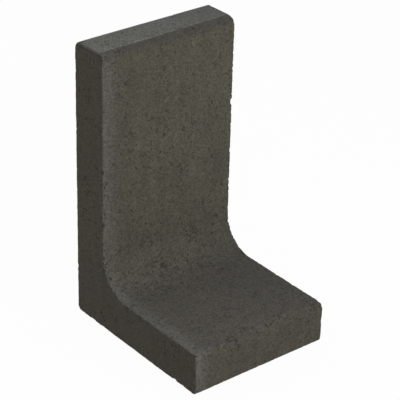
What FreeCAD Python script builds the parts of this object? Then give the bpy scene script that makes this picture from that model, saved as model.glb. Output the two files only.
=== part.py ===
"""Small L-shaped concrete retaining block, modelled as one cast solid.

The stem stands upright and the foot reaches forward from its base. Both are 60 mm thick, and a
generous cove joins them on the inside. The L-shaped section is constant along the block's width,
so it is one sketch, padded half each way, with its long edges and both end outlines rounded.

Frame, in millimetres: X runs along the wall, -Y is the side that the foot's toe points to, and
+Z is up. The origin is the middle of the block's footprint, on its bed face.
"""

import FreeCAD
import Part

import os

import Sketcher

NODE = "retaining_block"
SMALL = 1e-6

# The block's driving dimensions in millimetres. Each one is a cell of the spreadsheet.
DIMENSIONS = [
    ("block_height", 400.0, "overall height, bed face to top face"),
    ("block_width", 215.0, "length of wall that one block covers"),
    ("foot_length", 260.0, "overall depth, stem's back face to toe"),
    ("stem_thickness", 60.0, "thickness of the upright stem"),
    ("foot_thickness", 60.0, "thickness of the foot"),
    ("cove_radius", 50.0, "cove between the stem's front face and the foot's top face"),
    ("top_front_radius", 15.0, "rounding of the stem's top front edge"),
    ("top_back_radius", 8.0, "rounding of the stem's top back edge"),
    ("toe_top_radius", 15.0, "rounding of the toe's top edge"),
    ("toe_bottom_radius", 6.0, "rounding of the toe's bottom edge"),
    ("heel_radius", 8.0, "rounding of the heel, under the stem's back face"),
    ("end_arris_radius", 2.5, "rounding round the outline of both end faces"),
]


def make_sheet(doc):
    """Writes the driving dimensions into a spreadsheet, one aliased cell each."""
    sheet = doc.addObject("Spreadsheet::Sheet", "Dimensions")
    for row, (alias, value, meaning) in enumerate(DIMENSIONS, start=1):
        sheet.set(f"A{row}", alias)
        sheet.set(f"B{row}", str(value))
        sheet.set(f"C{row}", meaning)
        sheet.setAlias(f"B{row}", alias)
    doc.recompute()
    return sheet


def origin_plane(body, role):
    """The body's own origin plane with that role, such as YZ_Plane."""
    for feature in body.Origin.OriginFeatures:
        if feature.Role == role:
            return feature
    raise RuntimeError(f"the body has no {role}")


def draw_section(body, sheet):
    """Sketches the L-shaped section on the YZ plane: sketch x is the block's Y, sketch y is Z."""
    sketch = body.newObject("Sketcher::SketchObject", "Section")
    sketch.AttachmentSupport = (origin_plane(body, "YZ_Plane"), [""])
    sketch.MapMode = "FlatFace"

    toe = -sheet.foot_length / 2
    back = sheet.foot_length / 2
    stem_front = back - sheet.stem_thickness
    outline = [
        (toe, 0),
        (back, 0),
        (back, sheet.block_height),
        (stem_front, sheet.block_height),
        (stem_front, sheet.foot_thickness),
        (toe, sheet.foot_thickness),
    ]
    corners = [FreeCAD.Vector(y, z, 0) for y, z in outline]
    bed, back_face, top, stem_face, foot_top, toe_face = (
        sketch.addGeometry(Part.LineSegment(start, end))
        for start, end in zip(corners, corners[1:] + corners[:1])
    )

    sides = [bed, back_face, top, stem_face, foot_top, toe_face]
    for side, following in zip(sides, sides[1:] + sides[:1]):
        sketch.addConstraint(Sketcher.Constraint("Coincident", side, 2, following, 1))
    for side in (bed, top, foot_top):
        sketch.addConstraint(Sketcher.Constraint("Horizontal", side))
    for side in (back_face, stem_face, toe_face):
        sketch.addConstraint(Sketcher.Constraint("Vertical", side))
    # The bed lies on the sketch's horizontal axis, with its ends as far each side of the origin.
    sketch.addConstraint(Sketcher.Constraint("Symmetric", bed, 1, bed, 2, -1, 1))

    sizes = [
        ("DistanceX", (bed, 1, bed, 2), "foot_length"),
        ("DistanceY", (back_face, 1, back_face, 2), "block_height"),
        ("DistanceX", (top, 2, top, 1), "stem_thickness"),
        ("DistanceY", (toe_face, 2, toe_face, 1), "foot_thickness"),
    ]
    for kind, points, alias in sizes:
        index = sketch.addConstraint(
            Sketcher.Constraint(kind, *points, getattr(sheet, alias))
        )
        sketch.renameConstraint(index, alias)
        sketch.setExpression(f"Constraints.{alias}", f"Dimensions.{alias}")
    return sketch


def pad_section(body, sketch):
    """Pads the section along X by the block's width, half to each side."""
    pad = body.newObject("PartDesign::Pad", "LShape")
    pad.Profile = sketch
    pad.SideType = "Symmetric"
    pad.setExpression("Length", "Dimensions.block_width")
    return pad


def long_edge(shape, y, z):
    """Name of the straight edge along X that passes through (y, z)."""
    for number, edge in enumerate(shape.Edges, start=1):
        start, end = edge.Vertexes[0].Point, edge.Vertexes[-1].Point
        along_x = abs(start.y - end.y) < SMALL and abs(start.z - end.z) < SMALL
        if along_x and abs(start.y - y) < SMALL and abs(start.z - z) < SMALL:
            return f"Edge{number}"
    raise RuntimeError(f"no edge along X passes through y {y}, z {z}")


def end_outline(shape, half_width):
    """Names of the edges that lie wholly in either end face."""
    names = []
    for number, edge in enumerate(shape.Edges, start=1):
        box = edge.BoundBox
        if abs(box.XMin - box.XMax) < SMALL and abs(abs(box.XMin) - half_width) < SMALL:
            names.append(f"Edge{number}")
    return names


def round_edges(body, base, label, edge_names, alias):
    """Adds a fillet on those edges of base, with its radius from the spreadsheet."""
    fillet = body.newObject("PartDesign::Fillet", label)
    fillet.Base = (base, edge_names)
    fillet.setExpression("Radius", f"Dimensions.{alias}")
    base.Document.recompute()
    return fillet


def build_block(doc, sheet):
    """The whole block: section, pad, long edges and end outlines."""
    body = doc.addObject("PartDesign::Body", "RetainingBlock")
    body.Label = NODE
    feature = pad_section(body, draw_section(body, sheet))
    doc.recompute()

    toe = -sheet.foot_length / 2
    back = sheet.foot_length / 2
    stem_front = back - sheet.stem_thickness
    long_edges = [
        ("Cove", stem_front, sheet.foot_thickness, "cove_radius"),
        ("TopFrontRound", stem_front, sheet.block_height, "top_front_radius"),
        ("TopBackRound", back, sheet.block_height, "top_back_radius"),
        ("ToeTopRound", toe, sheet.foot_thickness, "toe_top_radius"),
        ("ToeBottomRound", toe, 0, "toe_bottom_radius"),
        ("HeelRound", back, 0, "heel_radius"),
    ]
    for label, y, z, alias in long_edges:
        edge = long_edge(feature.Shape, y, z)
        feature = round_edges(body, feature, label, [edge], alias)

    arrises = end_outline(feature.Shape, sheet.block_width / 2)
    feature = round_edges(body, feature, "EndArrises", arrises, "end_arris_radius")
    body.Tip = feature
    doc.recompute()
    return body


def check_document(doc, bodies):
    """Stops the build if any object failed, or a body isn't one valid solid."""
    for item in doc.Objects:
        if "Invalid" in item.State or "Error" in item.State:
            raise RuntimeError(f"{item.Label} failed: {item.State}")
    for body in bodies:
        shape = body.Shape
        if shape.isNull() or not shape.isValid() or len(shape.Solids) != 1:
            raise RuntimeError(f"{body.Label} isn't one valid solid")


def main():
    doc = FreeCAD.newDocument("RetainingBlock")
    sheet = make_sheet(doc)
    block = build_block(doc, sheet)
    check_document(doc, [block])

    os.makedirs("parts", exist_ok=True)
    block.Shape.exportStep(f"parts/{block.Label}.step")
    box = block.Shape.optimalBoundingBox()
    litres = block.Shape.Volume / 1e6
    print(f"{block.Label}: {box.XLength:.1f} x {box.YLength:.1f} x {box.ZLength:.1f} mm, {litres:.3f} l")


main()
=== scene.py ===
# %% [markdown]
# # A small L-shaped retaining block in anthracite concrete
# The block is one casting: an upright stem, a foot that reaches forward, and a cove between them.
# Semi-dry concrete is rammed into a steel mould and pushed out again straight away, so the skin is
# sandy and full of small pores, and the arrises crumble a little where the block leaves the mould.
# This lesson models that casting around the measured CAD block, gives it its concrete, and lights it.

import math
import random

import bmesh
import bpy
from mathutils import Matrix, Vector, noise
from mathutils.kdtree import KDTree


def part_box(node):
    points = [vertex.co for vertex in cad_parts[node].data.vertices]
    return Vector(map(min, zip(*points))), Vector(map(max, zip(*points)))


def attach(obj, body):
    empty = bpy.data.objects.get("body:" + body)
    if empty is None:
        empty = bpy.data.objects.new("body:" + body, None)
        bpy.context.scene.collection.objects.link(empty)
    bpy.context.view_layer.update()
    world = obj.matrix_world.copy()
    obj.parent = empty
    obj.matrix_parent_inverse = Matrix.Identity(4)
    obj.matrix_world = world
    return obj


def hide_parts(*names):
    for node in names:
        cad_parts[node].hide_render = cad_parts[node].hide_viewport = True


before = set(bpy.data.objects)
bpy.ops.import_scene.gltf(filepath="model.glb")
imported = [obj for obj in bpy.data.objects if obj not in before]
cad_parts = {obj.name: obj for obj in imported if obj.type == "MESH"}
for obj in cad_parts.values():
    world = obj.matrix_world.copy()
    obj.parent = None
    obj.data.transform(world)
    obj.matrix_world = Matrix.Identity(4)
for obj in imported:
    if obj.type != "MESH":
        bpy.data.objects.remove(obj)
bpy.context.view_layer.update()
low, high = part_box("retaining_block")
print("CAD block, mm:", [round(side * 1000, 1) for side in high - low])

# %% [markdown]
# ## Sizes
# The real block comes out of one steel mould, so its sizes are the mould's. They could be typed in
# again here, but a copy can drift from the drawing. The overall sizes are therefore read from the CAD
# block, and only what its box doesn't show, such as walls and roundings, is written once, in
# millimetres. Blender works in metres, so `mm` turns one into the other.

# %% Walls and roundings
mm = 0.001

WALL = 60 * mm             # stem and foot
COVE = 50 * mm             # inside corner
TOP_FRONT_ROUND = 15 * mm  # stem's top edge, front
TOP_BACK_ROUND = 8 * mm
TOE_TOP_ROUND = 15 * mm
TOE_BOTTOM_ROUND = 6 * mm
HEEL_ROUND = 8 * mm
END_ARRIS = 2 * mm         # outline of both end faces; wear opens it to the drawing's 2.5 mm

left, right = low.x, high.x
toe, back = low.y, high.y
bed, top = low.z, high.z
stem_front = back - WALL
foot_top = bed + WALL
print("stem front at y =", round(stem_front / mm, 1), "mm, foot top at z =", round(foot_top / mm, 1), "mm")

# %% [markdown]
# ## The L shape
# The mould has the same section from end to end. Two boxes joined by a boolean would give that
# section too, but would leave a seam inside it. An extrusion doesn't: six corners make the L, and one
# pull along X gives it its width.

# %% Extrude the section
def extrude_section():
    """The plain L with sharp edges, as a new bmesh."""
    bm = bmesh.new()
    corners = [(toe, bed), (back, bed), (back, top),
               (stem_front, top), (stem_front, foot_top), (toe, foot_top)]
    section = bm.faces.new([bm.verts.new((left, y, z)) for y, z in corners])
    pulled = bmesh.ops.extrude_face_region(bm, geom=[section])
    new_verts = [part for part in pulled["geom"] if isinstance(part, bmesh.types.BMVert)]
    bmesh.ops.translate(bm, verts=new_verts, vec=(right - left, 0, 0))
    bmesh.ops.recalc_face_normals(bm, faces=bm.faces[:])
    return bm

block = extrude_section()
print("plain L:", len(block.verts), "corners,", len(block.faces), "faces")

# %% [markdown]
# ## Roundings and the cove
# Every long edge of the mould is eased so that the fresh block slides out whole, and the cove inside
# the angle is the largest of these arcs. The arcs could be drawn point by point in the section.
# Bevelling the finished L is shorter: with a profile of 0.5, a bevel of a square edge is a quarter
# circle whose radius is the offset. The long edges come first and the outlines of the ends last.

# %% Bevel the long edges
CLOSE = 0.01 * mm          # two places nearer than this are the same place

def bevel(bm, edges, radius, segments):
    bmesh.ops.bevel(bm, geom=edges, offset=radius, offset_type="OFFSET", segments=segments,
                    profile=0.5, affect="EDGES", material=-1, clamp_overlap=False)

def long_edges_at(bm, y, z):
    """Edges that run along X through that place in the section."""
    def is_there(vert):
        return abs(vert.co.y - y) < CLOSE and abs(vert.co.z - z) < CLOSE
    return [edge for edge in bm.edges if is_there(edge.verts[0]) and is_there(edge.verts[1])]

LONG_ROUNDS = [
    (stem_front, foot_top, COVE, 24),
    (stem_front, top, TOP_FRONT_ROUND, 8),
    (back, top, TOP_BACK_ROUND, 5),
    (toe, foot_top, TOE_TOP_ROUND, 8),
    (toe, bed, TOE_BOTTOM_ROUND, 4),
    (back, bed, HEEL_ROUND, 5),
]
for y, z, radius, segments in LONG_ROUNDS:
    bevel(block, long_edges_at(block, y, z), radius, segments)
print("long edges rounded:", len(LONG_ROUNDS), "edges,", len(block.faces), "faces")

# %% Bevel the outline of both ends
def end_outline(bm, x):
    """Edges that lie in the end face at that x."""
    return [edge for edge in bm.edges if all(abs(vert.co.x - x) < CLOSE for vert in edge.verts)]

bevel(block, end_outline(block, left) + end_outline(block, right), END_ARRIS, 3)
print("rounded L:", len(block.faces), "faces")

# %% [markdown]
# ## A skin fine enough to weather
# Pores, crumbled arrises and broken corners are dents of a few millimetres, so the mesh needs
# vertices every two millimetres. A voxel remesh would give them but soften every arris. Cutting the
# solid with evenly spaced planes gives clean square cells on every flat face and leaves the roundings
# in place. The planes across the width come last, as a subdivision of the long edges, because one
# operator makes them all at once.

# %% Cut up the height and through the depth
CELL = 2.05 * mm

def slice_at(bm, places, direction):
    """Cuts the mesh with one plane per place; only the faces that a plane meets are passed on."""
    direction = Vector(direction)
    for place in places:
        met = []
        for face in bm.faces:
            reach = [vert.co.dot(direction) for vert in face.verts]
            if min(reach) < place - CLOSE and max(reach) > place + CLOSE:
                met.append(face)
        geom = set(met)
        for face in met:
            geom.update(face.edges)
            geom.update(face.verts)
        bmesh.ops.bisect_plane(bm, geom=list(geom), dist=CLOSE,
                               plane_co=direction * place, plane_no=direction)

def evenly(start, end, spacing):
    """Places between start and end, about that far apart, without the two ends."""
    count = max(1, round((end - start) / spacing))
    return [start + (end - start) * step / count for step in range(1, count)]

slice_at(block, evenly(bed, top, CELL), (0, 0, 1))
slice_at(block, evenly(toe, back, CELL), (0, 1, 0))
print("cut in height and depth:", len(block.faces), "faces")

# %% Cut across the width
CELL_ACROSS = 2.2 * mm
ARRIS_CELL = 1.2 * mm      # closer cuts beside the end faces, where the arrises crumble
ARRIS_CUTS = 4

beside_ends = [END_ARRIS + ARRIS_CELL * step for step in range(1, ARRIS_CUTS + 1)]
slice_at(block, [left + inset for inset in beside_ends] + [right - inset for inset in beside_ends],
         (1, 0, 0))
longest = right - left - 2 * beside_ends[-1]
wide = [edge for edge in block.edges if edge.calc_length() > longest - CLOSE]
bmesh.ops.subdivide_edges(block, edges=wide, cuts=round(longest / CELL_ACROSS) - 1, use_grid_fill=True)
block.normal_update()
print("cells:", len(block.faces), "faces,", len(block.verts), "vertices")

# %% [markdown]
# ## Roundings that open out
# On the real block the stem's top rounding and the toe's top rounding aren't even: both are tight at
# the ends, most of all at the left, and open out in between. A bevel has one radius along its whole
# length, so each rounding is made even first and then drawn towards its sharp corner, or away from
# it, by an amount that changes along X. Scaling an arc about its corner keeps it an arc, and a
# parabola through three shares, at the left end, the middle and the right end, changes it smoothly.

# %% Draw the roundings tight at the ends
def share_along(x):
    """0 at the left end, 1 at the right end."""
    return min(1.0, max(0.0, (x - left) / (right - left)))

def open_out(bm, corner_y, corner_z, radius, at_left, at_middle, at_right):
    """Scales what lies near that corner of the section, by a share that changes from end to end."""
    reach = 2.2 * radius
    for vert in bm.verts:
        offset = Vector((0, vert.co.y - corner_y, vert.co.z - corner_z))
        if offset.length > reach:
            continue
        t = share_along(vert.co.x)
        share = at_left * (1 - t) * (1 - 2 * t) + at_middle * 4 * t * (1 - t) + at_right * t * (2 * t - 1)
        fade = min(1.0, (reach - offset.length) / (reach - radius))
        vert.co += offset * (share - 1) * fade

open_out(block, stem_front, top, TOP_FRONT_ROUND, 0.6, 1.0, 0.75)
open_out(block, toe, foot_top, TOE_TOP_ROUND, 0.5, 0.95, 0.62)
open_out(block, back, top, TOP_BACK_ROUND, 1.4, 1.1, 0.9)
block.normal_update()
print("three roundings opened out")

# %% [markdown]
# ## The struck top
# The stem's top face lay open while the block was pressed, and was struck off flat. The strike ends
# in a line along the front, and the rounding below that line sits half a millimetre lower. It could be
# painted on as a dark line only, but a real step also catches light from the side, so the mesh gets
# one. The line leaves the front a little wider at the right end.

# %% The line and the step in front of it
STRUCK_LEFT = 8.5 * mm     # from the stem's front to the line, at the left end
STRUCK_RIGHT = 14 * mm     # and at the right end
STRUCK_STEP = 0.5 * mm     # drop from the struck top to the rounding

def struck_edge(x):
    """Where the stem's struck top ends, at that place along the block."""
    return stem_front + STRUCK_LEFT + (STRUCK_RIGHT - STRUCK_LEFT) * share_along(x)

def step_share(place):
    """1 on the stem's front rounding, fading to 0 down the face, and 0 on the struck top."""
    if place.z < top - TOP_FRONT_ROUND or place.y > struck_edge(place.x):
        return 0.0
    return min(1.0, (place.z - top + TOP_FRONT_ROUND) / (0.7 * TOP_FRONT_ROUND))

print("struck line, mm behind the front:", STRUCK_LEFT / mm, "to", STRUCK_RIGHT / mm)

# %% [markdown]
# ## Worn skin
# Concrete never stands proud of its mould, so every change from here on goes inwards. A Displace
# modifier would do for one layer of noise. Here the layers differ from place to place, with rougher
# ends and crumbled arrises, so a short loop lowers each vertex along its normal by the sum of them.

# %% Noise, and where the arrises are
def bumps(place, size, seed):
    """Smooth noise from 0 to 1 with lumps of about that size."""
    offset = Vector((seed * 7.3, seed * 3.1, seed * 5.7))
    return min(1.0, max(0.0, 0.5 + 0.75 * noise.noise(place / size + offset)))

def end_arris_share(normal):
    """1 on the rounded outline of the end faces, near 0 on all faces."""
    return max(0.0, 1 - abs(abs(normal.x) - 0.7) / 0.35)

arris_verts = [vert for vert in block.verts if end_arris_share(vert.normal) > 0.3]
face_verts = [vert for vert in block.verts if end_arris_share(vert.normal) < 0.2]
normals = {vert: vert.normal.copy() for vert in block.verts}
print("vertices on arrises:", len(arris_verts), "on faces:", len(face_verts))

# %% Lower the skin
WAVE = 0.25 * mm           # slow waves of the mould wall
GRAIN = 0.22 * mm          # sandy skin
END_GRAIN = 0.42 * mm      # the end faces are rougher
CRUMBLE = 0.7 * mm         # most that an arris has crumbled away

def wear(place, normal):
    """How far the skin lies below the mould there."""
    rough = END_GRAIN if abs(normal.x) > 0.9 else GRAIN
    depth = WAVE * bumps(place, 45 * mm, 1)
    depth += rough * bumps(place, 3.5 * mm, 2) * (0.4 + 0.6 * bumps(place, 25 * mm, 3))
    crumbled = bumps(place, 9 * mm, 4) ** 2 + 0.5 * bumps(place, 4 * mm, 5) ** 3
    depth += CRUMBLE * end_arris_share(normal) * crumbled
    return depth + STRUCK_STEP * step_share(place)

sunk = {vert: wear(vert.co, normals[vert]) for vert in block.verts}
for vert, depth in sunk.items():
    vert.co -= normals[vert] * depth
print("deepest wear, mm:", round(max(sunk.values()) / mm, 2))

# %% [markdown]
# ## Pores and broken arrises
# Air pockets against the mould leave round pores, and grains that drop out of an arris leave small
# shells. Booleans with hundreds of balls would be slow and would tear the even cells. Pressing works
# better: `bite` puts a ball into the surface and pushes the vertices it meets out to its wall. A tree
# of the vertices finds those few quickly. Whatever part of a push points out of the skin is dropped,
# so nothing stands proud. Each vertex keeps how deeply it was pressed, because hollows hold dirt and
# lie in shade, and the material darkens them with dirt and painted shade.

# %% A ball pressed into the skin
hollow = {vert: 0.0 for vert in block.verts}
FULL_HOLLOW = 1.2 * mm     # a press this deep counts as fully hollow

block.verts.index_update()
block.verts.ensure_lookup_table()
skin = KDTree(len(block.verts))
for vert in block.verts:
    skin.insert(vert.co, vert.index)
skin.balance()

def bite(bm, place, outward, radius, depth, darken=1.0):
    """Presses a ball of that radius into the surface at place, to that depth."""
    centre = place + outward * (radius - depth)
    for _, index, _ in skin.find_range(centre, radius + depth):
        vert = bm.verts[index]
        away = vert.co - centre
        gap = radius * (0.92 + 0.16 * bumps(vert.co, 2.5 * mm, 6)) - away.length
        if gap > 0:
            push = away.normalized() * gap
            proud = max(0.0, push.dot(normals[vert]))
            vert.co += push - normals[vert] * proud
            hollow[vert] = min(1.0, hollow[vert] + darken * gap / FULL_HOLLOW)

print("tree holds", len(block.verts), "vertices")

# %% Pores on the faces
random.seed(40)
PORE_TRIES = 4200
LOW_DOWN = 210 * mm        # below this the mix was harder to ram, and pores crowd together

pores_made = 0
for _ in range(PORE_TRIES):
    vert = random.choice(face_verts)
    crowding = bumps(vert.co, 26 * mm, 8) + (0.08 if vert.co.z < LOW_DOWN else 0.0)
    if crowding < 0.48 * random.random() + 0.38:
        continue
    radius = random.uniform(1.1, 2.3) * mm
    bite(block, vert.co, normals[vert], radius, radius * random.uniform(0.45, 0.9))
    pores_made += 1
print("pores:", pores_made)

# %% Pores where air was trapped
CLUSTERS = [               # centre, spread, number of pores
    ((-24, 57, 77), 13, 18),    # in the cove
    ((40, 38, 63), 11, 12),
    ((41, 68, 95), 12, 10),
    ((-30, 70, 118), 13, 12),
    ((-16, -66, 60), 17, 22),   # on the foot
    ((-44, -128, 54), 13, 24),  # on the toe's rounding
    ((-31, 70, 236), 17, 20),   # on the stem
    ((23, 70, 197), 15, 16),
    ((-45, 70, 346), 11, 8),
    ((29, 70, 306), 14, 9),
]
for centre, spread, count in CLUSTERS:
    near = skin.find_range(Vector(centre) * mm, spread * mm)
    for _ in range(count):
        _, nearest, _ = random.choice(near)
        vert = block.verts[nearest]
        radius = random.uniform(1.0, 2.0) * mm
        bite(block, vert.co.copy(), normals[vert], radius, radius * random.uniform(0.6, 1.1))
print("clusters:", len(CLUSTERS))

# %% Crumbs out of the arrises
CRUMBS = 380
CRUMB_LEFT = 0.5 * mm      # deepest on the left end's outline
CRUMB_RIGHT = 0.9 * mm     # the right end came off the mould rougher

for _ in range(CRUMBS):
    vert = random.choice(arris_verts)
    radius = random.uniform(1.5, 4.0) * mm
    deepest = CRUMB_RIGHT if vert.co.x > 0 else CRUMB_LEFT
    bite(block, vert.co, normals[vert], radius, random.uniform(0.2, 1.0) * deepest, darken=0.5)
print("crumbs:", CRUMBS)

# %% Larger chips
CHIPS = [                  # place on the sharp outline, ball radius, depth
    (right, stem_front, bed + 277 * mm, 7 * mm, 2.6 * mm),    # notch in the stem's right arris
    (right, stem_front, bed + 262 * mm, 5 * mm, 1.4 * mm),
    (right, stem_front, bed + 205 * mm, 9 * mm, 1.0 * mm),
    (right, toe + 60 * mm, foot_top, 8 * mm, 1.3 * mm),       # foot's right arris
    (right, toe + 95 * mm, foot_top, 6 * mm, 1.0 * mm),
    (left, back - 36 * mm, bed, 14 * mm, 1.3 * mm),           # ragged bed edge of the left end
    (left, back - 58 * mm, bed, 9 * mm, 1.0 * mm),
    (left, toe + 46 * mm, bed, 12 * mm, 1.4 * mm),
    (left, toe + 26 * mm, bed, 8 * mm, 1.2 * mm),
    (left, back, bed + 70 * mm, 5 * mm, 1.2 * mm),            # nick in the back left arris
    (left, stem_front - 14 * mm, foot_top + 20 * mm, 6 * mm, 1.3 * mm),  # cove's left arris
]
for x, y, z, radius, depth in CHIPS:
    _, nearest, _ = skin.find((x, y, z))
    vert = block.verts[nearest]
    bite(block, vert.co.copy(), normals[vert], radius, depth, darken=0.5)
print("chips:", len(CHIPS), "deepest hollow share:", round(max(hollow.values()), 2))

# %% [markdown]
# ## From bmesh to object
# The bmesh becomes one mesh object that stays at the origin, with its place in its mesh, so patterns
# in object coordinates keep their place. The hollows travel with it as a point attribute. A vertex
# colour would do as well, but one number per vertex is all the material needs. The piece then rides on
# the CAD body and stands in for the CAD block.

# %% Make the casting
def finish_object(bm, name):
    mesh = bpy.data.meshes.new(name)
    for face in bm.faces:
        face.smooth = True
    bm.to_mesh(mesh)
    shade = mesh.attributes.new("hollow", "FLOAT", "POINT")
    shade.data.foreach_set("value", [hollow[vert] for vert in bm.verts])
    made = bpy.data.objects.new(name, mesh)
    bpy.context.scene.collection.objects.link(made)
    return made

casting = finish_object(block, "concrete_casting")
block.free()
casting.data.calc_loop_triangles()
print("casting:", len(casting.data.loop_triangles), "triangles")

# %% Tie it to the frame
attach(casting, "root")
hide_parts("retaining_block")
print("casting rides on root")

# %% [markdown]
# ## Anthracite concrete
# The mix is grey cement blackened with iron oxide, sand up to two millimetres and some fine gravel. It
# was pressed, not polished, so it is matt: roughness about 0.9, with the refractive index of 1.5 that
# minerals have. An image of concrete would be quick, but it shows seams and stretches round the
# arrises. Layers of noise in object coordinates fit the solid from every side. Each layer below is one
# thing that the eye sees: the mix, a painted cool light on what faces up, the struck top with painted
# light and a painted highlight, the pale fines, painted shade and other darker places, sand, pores,
# and dirt with painted shade.

# %% Colours and nodes
def linear(code):
    """Linear RGBA of an sRGB hex colour such as '#504d44'."""
    channels = [int(code[start:start + 2], 16) / 255 for start in (1, 3, 5)]
    return [c / 12.92 if c <= 0.04045 else ((c + 0.055) / 1.055) ** 2.4 for c in channels] + [1.0]

def add(tree, kind, sockets=None, **settings):
    """Adds a node; sockets maps each input to a value, or to the output that feeds it."""
    node = tree.nodes.new(kind)
    for name, value in settings.items():
        setattr(node, name, value)
    for socket, value in (sockets or {}).items():
        if isinstance(value, bpy.types.NodeSocket):
            tree.links.new(value, node.inputs[socket])
        else:
            node.inputs[socket].default_value = value
    return node

MIX_A, MIX_B, MIX_OUT = 6, 7, 2   # colour sockets of a Mix node

concrete = bpy.data.materials.new("anthracite pressed concrete")
concrete.use_nodes = True
mix = concrete.node_tree
shader = mix.nodes["Principled BSDF"]
shader.inputs["Roughness"].default_value = 0.9
shader.inputs["IOR"].default_value = 1.5
casting.data.materials.append(concrete)
print("material:", concrete.name)

# %% [markdown]
# ## The mix and a painted cool light from above
# Cement and pigment never blend evenly, so the block has slow clouds of two near tones. Surfaces that
# face up are painted a cooler grey, a painted cool light from above. Noise gives the clouds. The cool
# tint follows the surface normal, which costs nothing and stays right on every rounding.

# %% Clouds in the mix
place = add(mix, "ShaderNodeTexCoord")
where = add(mix, "ShaderNodeSeparateXYZ", {"Vector": place.outputs["Object"]})
facing = add(mix, "ShaderNodeSeparateXYZ", {"Vector": place.outputs["Normal"]})

CLOUD = 50 * mm
clouds = add(mix, "ShaderNodeTexNoise", {"Vector": place.outputs["Object"], "Scale": 1 / CLOUD,
                                         "Detail": 3.0})
tone = add(mix, "ShaderNodeMix", {0: clouds.outputs["Fac"], MIX_A: linear("#4b473c"),
                                  MIX_B: linear("#545045")}, data_type="RGBA")
print("clouds every", round(CLOUD / mm), "mm")

# %% Painted cool light on what faces up
upward = add(mix, "ShaderNodeMapRange", {"Value": facing.outputs["Z"], "From Min": 0.1,
                                         "From Max": 1.0, "To Max": 0.7})
# Painted light: a cooler grey on what faces up, in place of a cooler light from above.
cool_from_above = add(mix, "ShaderNodeMix", {0: upward.outputs["Result"], MIX_A: tone.outputs[MIX_OUT],
                                   MIX_B: linear("#4d4b47")}, data_type="RGBA")
print("dust covers up to", upward.inputs["To Max"].default_value)

# %% [markdown]
# ## The struck top's colour and its painted light
# Striking draws cement paste to the surface, and the stem's top is the palest face, partly from that
# paste and partly as painted light from above. Palest of all is a painted highlight in the last few
# millimetres before its front line. The same line that shaped the step in the mesh is built again from
# two map ranges, so colour and step agree.

# %% Paste, painted light and a painted highlight behind the line
HIGHLIGHT_LIP = 4 * mm         # width of the palest strip along the line

high_up = add(mix, "ShaderNodeMath", {0: where.outputs["Z"], 1: top - 3 * mm}, operation="GREATER_THAN")
line = add(mix, "ShaderNodeMapRange", {"Value": where.outputs["X"], "From Min": left, "From Max": right,
                                       "To Min": struck_edge(left), "To Max": struck_edge(right)})
past_line = add(mix, "ShaderNodeMath", {0: where.outputs["Y"], 1: line.outputs["Result"]},
                operation="SUBTRACT")
behind = add(mix, "ShaderNodeMapRange", {"Value": past_line.outputs["Value"],
                                         "From Min": -0.5 * mm, "From Max": 0.5 * mm})
struck = add(mix, "ShaderNodeMath", {0: high_up.outputs["Value"], 1: behind.outputs["Result"]},
             operation="MULTIPLY")
# Painted highlight: palest right at the line, fading over the width of the strip.
highlight = add(mix, "ShaderNodeMapRange", {"Value": past_line.outputs["Value"], "From Max": HIGHLIGHT_LIP},
            interpolation_type="SMOOTHSTEP")
# Paste and painted light: the struck top is paler than the rest, partly as painted light from above.
lit_top_tone = add(mix, "ShaderNodeMix", {0: highlight.outputs["Result"], MIX_A: linear("#686964"),
                                        MIX_B: linear("#5b5c57")}, data_type="RGBA")
lit_struck_top = add(mix, "ShaderNodeMix", {0: struck.outputs["Value"], MIX_A: cool_from_above.outputs[MIX_OUT],
                                        MIX_B: lit_top_tone.outputs[MIX_OUT]}, data_type="RGBA")
print("paste lip, mm:", HIGHLIGHT_LIP / mm)

# %% [markdown]
# ## Pale fines and a painted highlight along the left end
# While the mould was shaken, fine cement gathered along its left end. It dried paler and cooler on
# the long faces there, strongest at the arris and fading inwards, while the end face itself stayed
# dark. At the arris itself the pale strip is also a painted highlight. The margin follows X, and the
# surface normal keeps it off the end face.

# %% The margin, with its painted highlight at the arris
MARGIN = 27 * mm

margin = add(mix, "ShaderNodeMapRange", {"Value": where.outputs["X"], "From Min": left + 2 * mm,
                                         "From Max": left + MARGIN, "To Min": 0.78, "To Max": 0.0})
off_end = add(mix, "ShaderNodeMapRange", {"Value": facing.outputs["X"], "From Min": -0.85,
                                          "From Max": -0.6})
# Pale fines, and at the arris a painted highlight.
fines_and_highlight = add(mix, "ShaderNodeMath", {0: margin.outputs["Result"], 1: off_end.outputs["Result"]},
            operation="MULTIPLY")
fines_and_highlight_tone = add(mix, "ShaderNodeMix", {0: fines_and_highlight.outputs["Value"], MIX_A: lit_struck_top.outputs[MIX_OUT],
                                   MIX_B: linear("#5f5e5a")}, data_type="RGBA")
print("margin, mm:", MARGIN / mm)

# %% [markdown]
# ## Darker places, most of them painted shade
# Some places are darker than the rest. The left end face, darker towards the bottom, and its lip
# under the top edge are painted shade, and so is the right side of the foot and of the struck top. The
# rounding in front of the struck line and the toe are darker too. Each gets one number, and the largest
# wins, so they don't pile up where they meet.

# %% The front rounding
over_round = add(mix, "ShaderNodeMapRange", {"Value": where.outputs["Z"], "From Min": top - 16 * mm,
                                             "From Max": top - 4 * mm, "To Max": 0.32})
in_front = add(mix, "ShaderNodeMath", {0: 1.0, 1: behind.outputs["Result"]}, operation="SUBTRACT")
round_shade = add(mix, "ShaderNodeMath", {0: over_round.outputs["Result"], 1: in_front.outputs["Value"]},
                  operation="MULTIPLY")
print("rounding darker by", over_round.inputs["To Max"].default_value)

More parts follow.
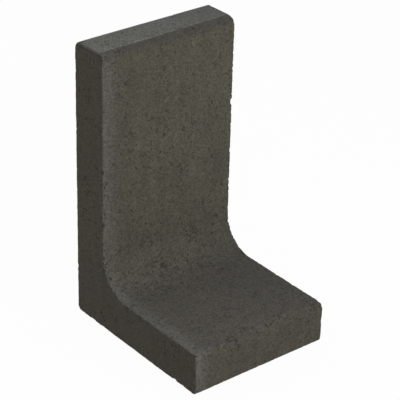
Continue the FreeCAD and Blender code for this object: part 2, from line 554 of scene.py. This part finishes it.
# %% Painted shade on the left end and its lip
# Painted shade: the lip of the left end under the top edge is darkened, and the whole end face more so
# towards the foot.
lip = add(mix, "ShaderNodeMapRange", {"Value": where.outputs["Z"], "From Min": top - 7 * mm,
                                      "From Max": top - 4 * mm, "To Max": 0.25})
end_foot = add(mix, "ShaderNodeMapRange", {"Value": where.outputs["Z"], "From Min": foot_top,
                                           "From Max": foot_top + 60 * mm, "To Min": 0.19, "To Max": 0.06})
end_level = add(mix, "ShaderNodeMath", {0: lip.outputs["Result"], 1: end_foot.outputs["Result"]},
                operation="MAXIMUM")
on_end = add(mix, "ShaderNodeMath", {0: 1.0, 1: off_end.outputs["Result"]}, operation="SUBTRACT")
painted_end_shade = add(mix, "ShaderNodeMath", {0: end_level.outputs["Value"], 1: on_end.outputs["Value"]},
                operation="MULTIPLY")
print("lip darker by", lip.inputs["To Max"].default_value)

# %% Painted shade on the right side of the foot and the struck top
# Painted shade: the foot and the struck top grow darker towards the right end.
right_side = add(mix, "ShaderNodeMapRange", {"Value": where.outputs["X"], "From Min": -5 * mm,
                                             "From Max": right, "To Max": 0.26})
low_down = add(mix, "ShaderNodeMapRange", {"Value": where.outputs["Z"], "From Min": foot_top,
                                           "From Max": foot_top + 70 * mm, "To Min": 1.0, "To Max": 0.0})
foot_or_struck_top = add(mix, "ShaderNodeMath", {0: low_down.outputs["Result"], 1: struck.outputs["Value"]},
                 operation="MAXIMUM")
painted_right_shade = add(mix, "ShaderNodeMath", {0: right_side.outputs["Result"],
                                          1: foot_or_struck_top.outputs["Value"]}, operation="MULTIPLY")
print("foot's right side darker by", right_side.inputs["To Max"].default_value)

# %% The toe
at_toe = add(mix, "ShaderNodeMapRange", {"Value": where.outputs["Y"], "From Min": toe + 4 * mm,
                                         "From Max": toe + 20 * mm, "To Min": 1.0, "To Max": 0.0})
toe_across = add(mix, "ShaderNodeMapRange", {"Value": where.outputs["X"], "From Min": left + 5 * mm,
                                             "From Max": left + 70 * mm, "To Max": 0.18})
toe_shade = add(mix, "ShaderNodeMath", {0: at_toe.outputs["Result"], 1: toe_across.outputs["Result"]},
                operation="MULTIPLY")
print("toe darker by", toe_across.inputs["To Max"].default_value)

# %% The largest shade wins
top_shade = add(mix, "ShaderNodeMath", {0: round_shade.outputs["Value"], 1: painted_end_shade.outputs["Value"]},
                operation="MAXIMUM")
low_shade = add(mix, "ShaderNodeMath", {0: painted_right_shade.outputs["Value"], 1: toe_shade.outputs["Value"]},
                operation="MAXIMUM")
shade = add(mix, "ShaderNodeMath", {0: top_shade.outputs["Value"], 1: low_shade.outputs["Value"]},
            operation="MAXIMUM")
# Painted shade and the other darker places, taken off the colour together.
unshaded_share = add(mix, "ShaderNodeMath", {0: 1.0, 1: shade.outputs["Value"]}, operation="SUBTRACT")
print("shades joined")

# %% [markdown]
# ## Sand, gravel and drag marks
# Close up, pressed concrete is all grains: each one has its own tone, with gravel showing through and
# faint marks drawn up the height where the mould slid off. Noise alone looks soft and cloudy. A Voronoi
# pattern gives one flat tone per cell with sharp borders, which is what sand looks like. Real sand goes
# down to dust; the cells are 1.5 mm wide so that they show.

# %% Sand grains
SAND = 1.5 * mm
grains = add(mix, "ShaderNodeTexVoronoi", {"Vector": place.outputs["Object"], "Scale": 1 / SAND})
grain_tone = add(mix, "ShaderNodeSeparateColor", {"Color": grains.outputs["Color"]})
sand_level = add(mix, "ShaderNodeMapRange", {"Value": grain_tone.outputs["Red"],
                                             "To Min": 0.62, "To Max": 1.38})
print("sand cells, mm:", SAND / mm)

# %% Gravel under the paste
GRAVEL = 6 * mm
gravel = add(mix, "ShaderNodeTexNoise", {"Vector": place.outputs["Object"], "Scale": 1 / GRAVEL,
                                         "Detail": 3.0, "Roughness": 0.7})
gravel_level = add(mix, "ShaderNodeMapRange", {"Value": gravel.outputs["Fac"], "From Min": 0.3,
                                               "From Max": 0.7, "To Min": 0.88, "To Max": 1.12})
print("gravel, mm:", GRAVEL / mm)

# %% Drag marks up the height
DRAG_WIDTH = 11 * mm
drawn = add(mix, "ShaderNodeMapping", {"Vector": place.outputs["Object"], "Scale": (1, 1, 0.18)})
drag = add(mix, "ShaderNodeTexNoise", {"Vector": drawn.outputs["Vector"], "Scale": 1 / DRAG_WIDTH,
                                       "Detail": 3.0, "Roughness": 0.65})
drag_level = add(mix, "ShaderNodeMapRange", {"Value": drag.outputs["Fac"], "From Min": 0.3,
                                             "From Max": 0.7, "To Min": 0.86, "To Max": 1.14})
print("drag marks, mm:", DRAG_WIDTH / mm)

# %% All the levels together
speckle = add(mix, "ShaderNodeMath", {0: sand_level.outputs["Result"], 1: gravel_level.outputs["Result"]},
              operation="MULTIPLY")
mottle = add(mix, "ShaderNodeMath", {0: speckle.outputs["Value"], 1: drag_level.outputs["Result"]},
             operation="MULTIPLY")
level = add(mix, "ShaderNodeMath", {0: mottle.outputs["Value"], 1: unshaded_share.outputs["Value"]},
            operation="MULTIPLY")
sanded = add(mix, "ShaderNodeMix", {0: 1.0, MIX_A: fines_and_highlight_tone.outputs[MIX_OUT], MIX_B: level.outputs["Value"]},
             data_type="RGBA", blend_type="MULTIPLY")
print("levels multiplied into the colour")

# %% [markdown]
# ## Ochre grains
# A few of the sand grains are iron-stained and show as ochre specks, most of them low on the stem. The
# Voronoi cells already carry a second random number, so the grains above a limit of it are tinted, and
# the limit depends on the height.

# %% Tint a few grains
OCHRE_LOW = 0.95           # limit near the foot: one grain in twenty
OCHRE_HIGH = 0.98          # limit at the top: one in fifty
ochre_limit = add(mix, "ShaderNodeMapRange", {"Value": where.outputs["Z"], "From Min": foot_top,
                                              "From Max": top, "To Min": OCHRE_LOW, "To Max": OCHRE_HIGH})
stained = add(mix, "ShaderNodeMath", {0: grain_tone.outputs["Green"], 1: ochre_limit.outputs["Result"]},
              operation="GREATER_THAN")
tint = add(mix, "ShaderNodeMath", {0: stained.outputs["Value"], 1: 0.45}, operation="MULTIPLY")
ochred = add(mix, "ShaderNodeMix", {0: tint.outputs["Value"], MIX_A: sanded.outputs[MIX_OUT],
                                    MIX_B: linear("#665a36")}, data_type="RGBA")
print("ochre above", OCHRE_LOW, "low down and", OCHRE_HIGH, "at the top")

# %% [markdown]
# ## Pinholes and dirt, with painted shade
# Between the pores in the mesh lie hundreds of pinholes too small for its cells, so their shade is
# painted: they are the lowest spots of a fine noise, painted dark, and a slower noise moves the limit,
# so they crowd together in places. The hollows pressed into the mesh are darkened the same way, from
# their attribute, with dirt and painted shade.

# %% Pinholes
PINHOLE = 4.5 * mm         # spacing; each hole is about a third of it
CROWD = 22 * mm
tall = add(mix, "ShaderNodeMapping", {"Vector": place.outputs["Object"], "Scale": (1, 1, 0.6)})
pits = add(mix, "ShaderNodeTexNoise", {"Vector": tall.outputs["Vector"], "Scale": 1 / PINHOLE,
                                       "Detail": 2.0, "Roughness": 0.6})
crowd = add(mix, "ShaderNodeTexNoise", {"Vector": drawn.outputs["Vector"], "Scale": 1 / CROWD,
                                        "Detail": 1.0})
limit = add(mix, "ShaderNodeMapRange", {"Value": crowd.outputs["Fac"], "From Min": 0.35,
                                        "From Max": 0.65, "To Min": 0.27, "To Max": 0.39})
under = add(mix, "ShaderNodeMath", {0: limit.outputs["Result"], 1: pits.outputs["Fac"]},
            operation="SUBTRACT")
pinholes = add(mix, "ShaderNodeMapRange", {"Value": under.outputs["Value"], "From Max": 0.04,
                                           "To Max": 0.75})
# Painted shade: the pinholes are painted near black.
pinholes_shaded = add(mix, "ShaderNodeMix", {0: pinholes.outputs["Result"], MIX_A: ochred.outputs[MIX_OUT],
                                   MIX_B: linear("#282621")}, data_type="RGBA")
print("pinholes every", PINHOLE / mm, "mm")

# %% Dirt and painted shade in the hollows
pressed = add(mix, "ShaderNodeAttribute", attribute_name="hollow")
# Dirt and painted shade: the deeper a hollow was pressed, the darker its colour.
dirt_and_shade = add(mix, "ShaderNodeMapRange", {"Value": pressed.outputs["Fac"], "To Max": 0.8})
dirt_and_shade_tone = add(mix, "ShaderNodeMix", {0: dirt_and_shade.outputs["Result"], MIX_A: pinholes_shaded.outputs[MIX_OUT],
                                   MIX_B: linear("#2a2924")}, data_type="RGBA")
mix.links.new(dirt_and_shade_tone.outputs[MIX_OUT], shader.inputs["Base Color"])
print("colour linked")

# %% Sand and pinholes as relief
relief = add(mix, "ShaderNodeMath", {0: gravel.outputs["Fac"], 1: pinholes.outputs["Result"]},
             operation="SUBTRACT")
bump = add(mix, "ShaderNodeBump", {"Height": relief.outputs["Value"], "Strength": 0.6,
                                   "Distance": 0.8 * mm})
mix.links.new(bump.outputs["Normal"], shader.inputs["Normal"])
print("concrete has", len(mix.nodes), "nodes")

# %% [markdown]
# ## Floor and world
# The block stands on plain white paper. If white came from strong light, the light would wash out the
# dark concrete too. Instead, the camera sees the paper and the world near plain white, while other
# rays meet a mid grey, so the floor keeps the block's soft shadow and throws no glow up its sides.

# %% Floor paper
WHITE_TO_CAMERA = 0.96     # share of the floor's look that is plain white rather than lit

def studio_floor():
    material = bpy.data.materials.new("studio floor paper")
    material.use_nodes = True
    tree = material.node_tree
    tree.nodes.clear()
    rays = add(tree, "ShaderNodeLightPath")
    seen = add(tree, "ShaderNodeMath", {0: rays.outputs["Is Camera Ray"], 1: rays.outputs["Is Glossy Ray"]},
               operation="MAXIMUM")
    grey = add(tree, "ShaderNodeBsdfDiffuse", {"Color": linear("#b0b0b0")})
    paper = add(tree, "ShaderNodeBsdfDiffuse", {"Color": linear("#ffffff")})
    white = add(tree, "ShaderNodeEmission", {"Color": linear("#ffffff"), "Strength": 1.0})
    lit_white = add(tree, "ShaderNodeMixShader", {0: WHITE_TO_CAMERA, 1: paper.outputs[0],
                                                  2: white.outputs[0]})
    either = add(tree, "ShaderNodeMixShader", {0: seen.outputs[0], 1: grey.outputs[0],
                                               2: lit_white.outputs[0]})
    add(tree, "ShaderNodeOutputMaterial", {"Surface": either.outputs[0]})
    return material

print("white to the camera:", WHITE_TO_CAMERA)

# %% Floor
FLOOR_HALF = 6.0
floor_bm = bmesh.new()
bmesh.ops.create_grid(floor_bm, x_segments=1, y_segments=1, size=FLOOR_HALF)
floor_mesh = bpy.data.meshes.new("floor")
floor_bm.to_mesh(floor_mesh)
floor_bm.free()
floor = bpy.data.objects.new("floor", floor_mesh)
bpy.context.scene.collection.objects.link(floor)
floor.data.materials.append(studio_floor())
print("floor:", 2 * FLOOR_HALF, "m wide")

# %% World
SKY_LEVEL = 0.41
world = bpy.data.worlds.new("studio")
bpy.context.scene.world = world
world.use_nodes = True
sky = world.node_tree
sky.nodes.clear()
rays = add(sky, "ShaderNodeLightPath")
seen = add(sky, "ShaderNodeMath", {0: rays.outputs["Is Camera Ray"], 1: rays.outputs["Is Glossy Ray"]},
           operation="MAXIMUM")
strength = add(sky, "ShaderNodeMapRange", {"Value": seen.outputs[0], "To Min": SKY_LEVEL, "To Max": 1.0})
dome = add(sky, "ShaderNodeBackground", {"Color": linear("#ffffff"), "Strength": strength.outputs[0]})
add(sky, "ShaderNodeOutputWorld", {"Surface": dome.outputs[0]})
print("sky level for the block:", SKY_LEVEL)

# %% [markdown]
# ## Lamps
# Two softboxes light the block: the key from the front, which the stem's face and the foot catch, and
# a weak one from behind and above for the struck top. Lamp power in watts says little by itself, so
# `softbox` takes the level that a white card would show in the middle of the block.

# %% Softboxes
def softbox(name, azimuth, elevation, distance, side, level):
    """A square lamp aimed at the block's middle, where a white card that faces it renders at level."""
    lamp = bpy.data.lights.new(name, "AREA")
    lamp.shape = "SQUARE"
    lamp.size = side
    lamp.energy = level * math.pi ** 2 * distance ** 2
    made = bpy.data.objects.new(name, lamp)
    turn = (Matrix.Rotation(math.radians(azimuth), 4, "Z")
            @ Matrix.Rotation(math.radians(90 - elevation), 4, "X"))
    middle = Vector((0, 0, (bed + top) / 2))
    made.matrix_world = Matrix.Translation(middle) @ turn @ Matrix.Translation((0, 0, distance))
    bpy.context.scene.collection.objects.link(made)
    print(name, "at", round(lamp.energy, 1), "W")

softbox("key softbox", azimuth=8, elevation=30, distance=1.5, side=0.9, level=0.53)
softbox("top softbox", azimuth=184, elevation=50, distance=2.4, side=0.8, level=0.15)

# %% [markdown]
# ## Camera
# The camera stands in front of the block's left end and looks down on it, far enough away that the
# edges hardly converge. Its place is given the way a studio would note it: where it looks, how far off
# it stands, and its three angles. Three turns and two shifts then make its matrix.

# %% Place the camera
LENS = 150.1               # mm on a 36 mm sensor
DISTANCE = 2.265           # m from the point looked at
AZIMUTH, ELEVATION, ROLL = -39.26, 28.42, 1.5
LOOK_AT = Vector((49.9, 63.3, 148.9)) * mm

camera_data = bpy.data.cameras.new("camera")
camera_data.lens = LENS
camera = bpy.data.objects.new("camera", camera_data)
aim = (Matrix.Rotation(math.radians(AZIMUTH), 4, "Z")
       @ Matrix.Rotation(math.radians(90 - ELEVATION), 4, "X")
       @ Matrix.Rotation(math.radians(ROLL), 4, "Z"))
camera.matrix_world = Matrix.Translation(LOOK_AT) @ aim @ Matrix.Translation((0, 0, DISTANCE))
bpy.context.scene.collection.objects.link(camera)
bpy.context.scene.camera = camera
bpy.context.scene.view_settings.view_transform = "Standard"
print("camera at", [round(part, 2) for part in camera.matrix_world.translation])
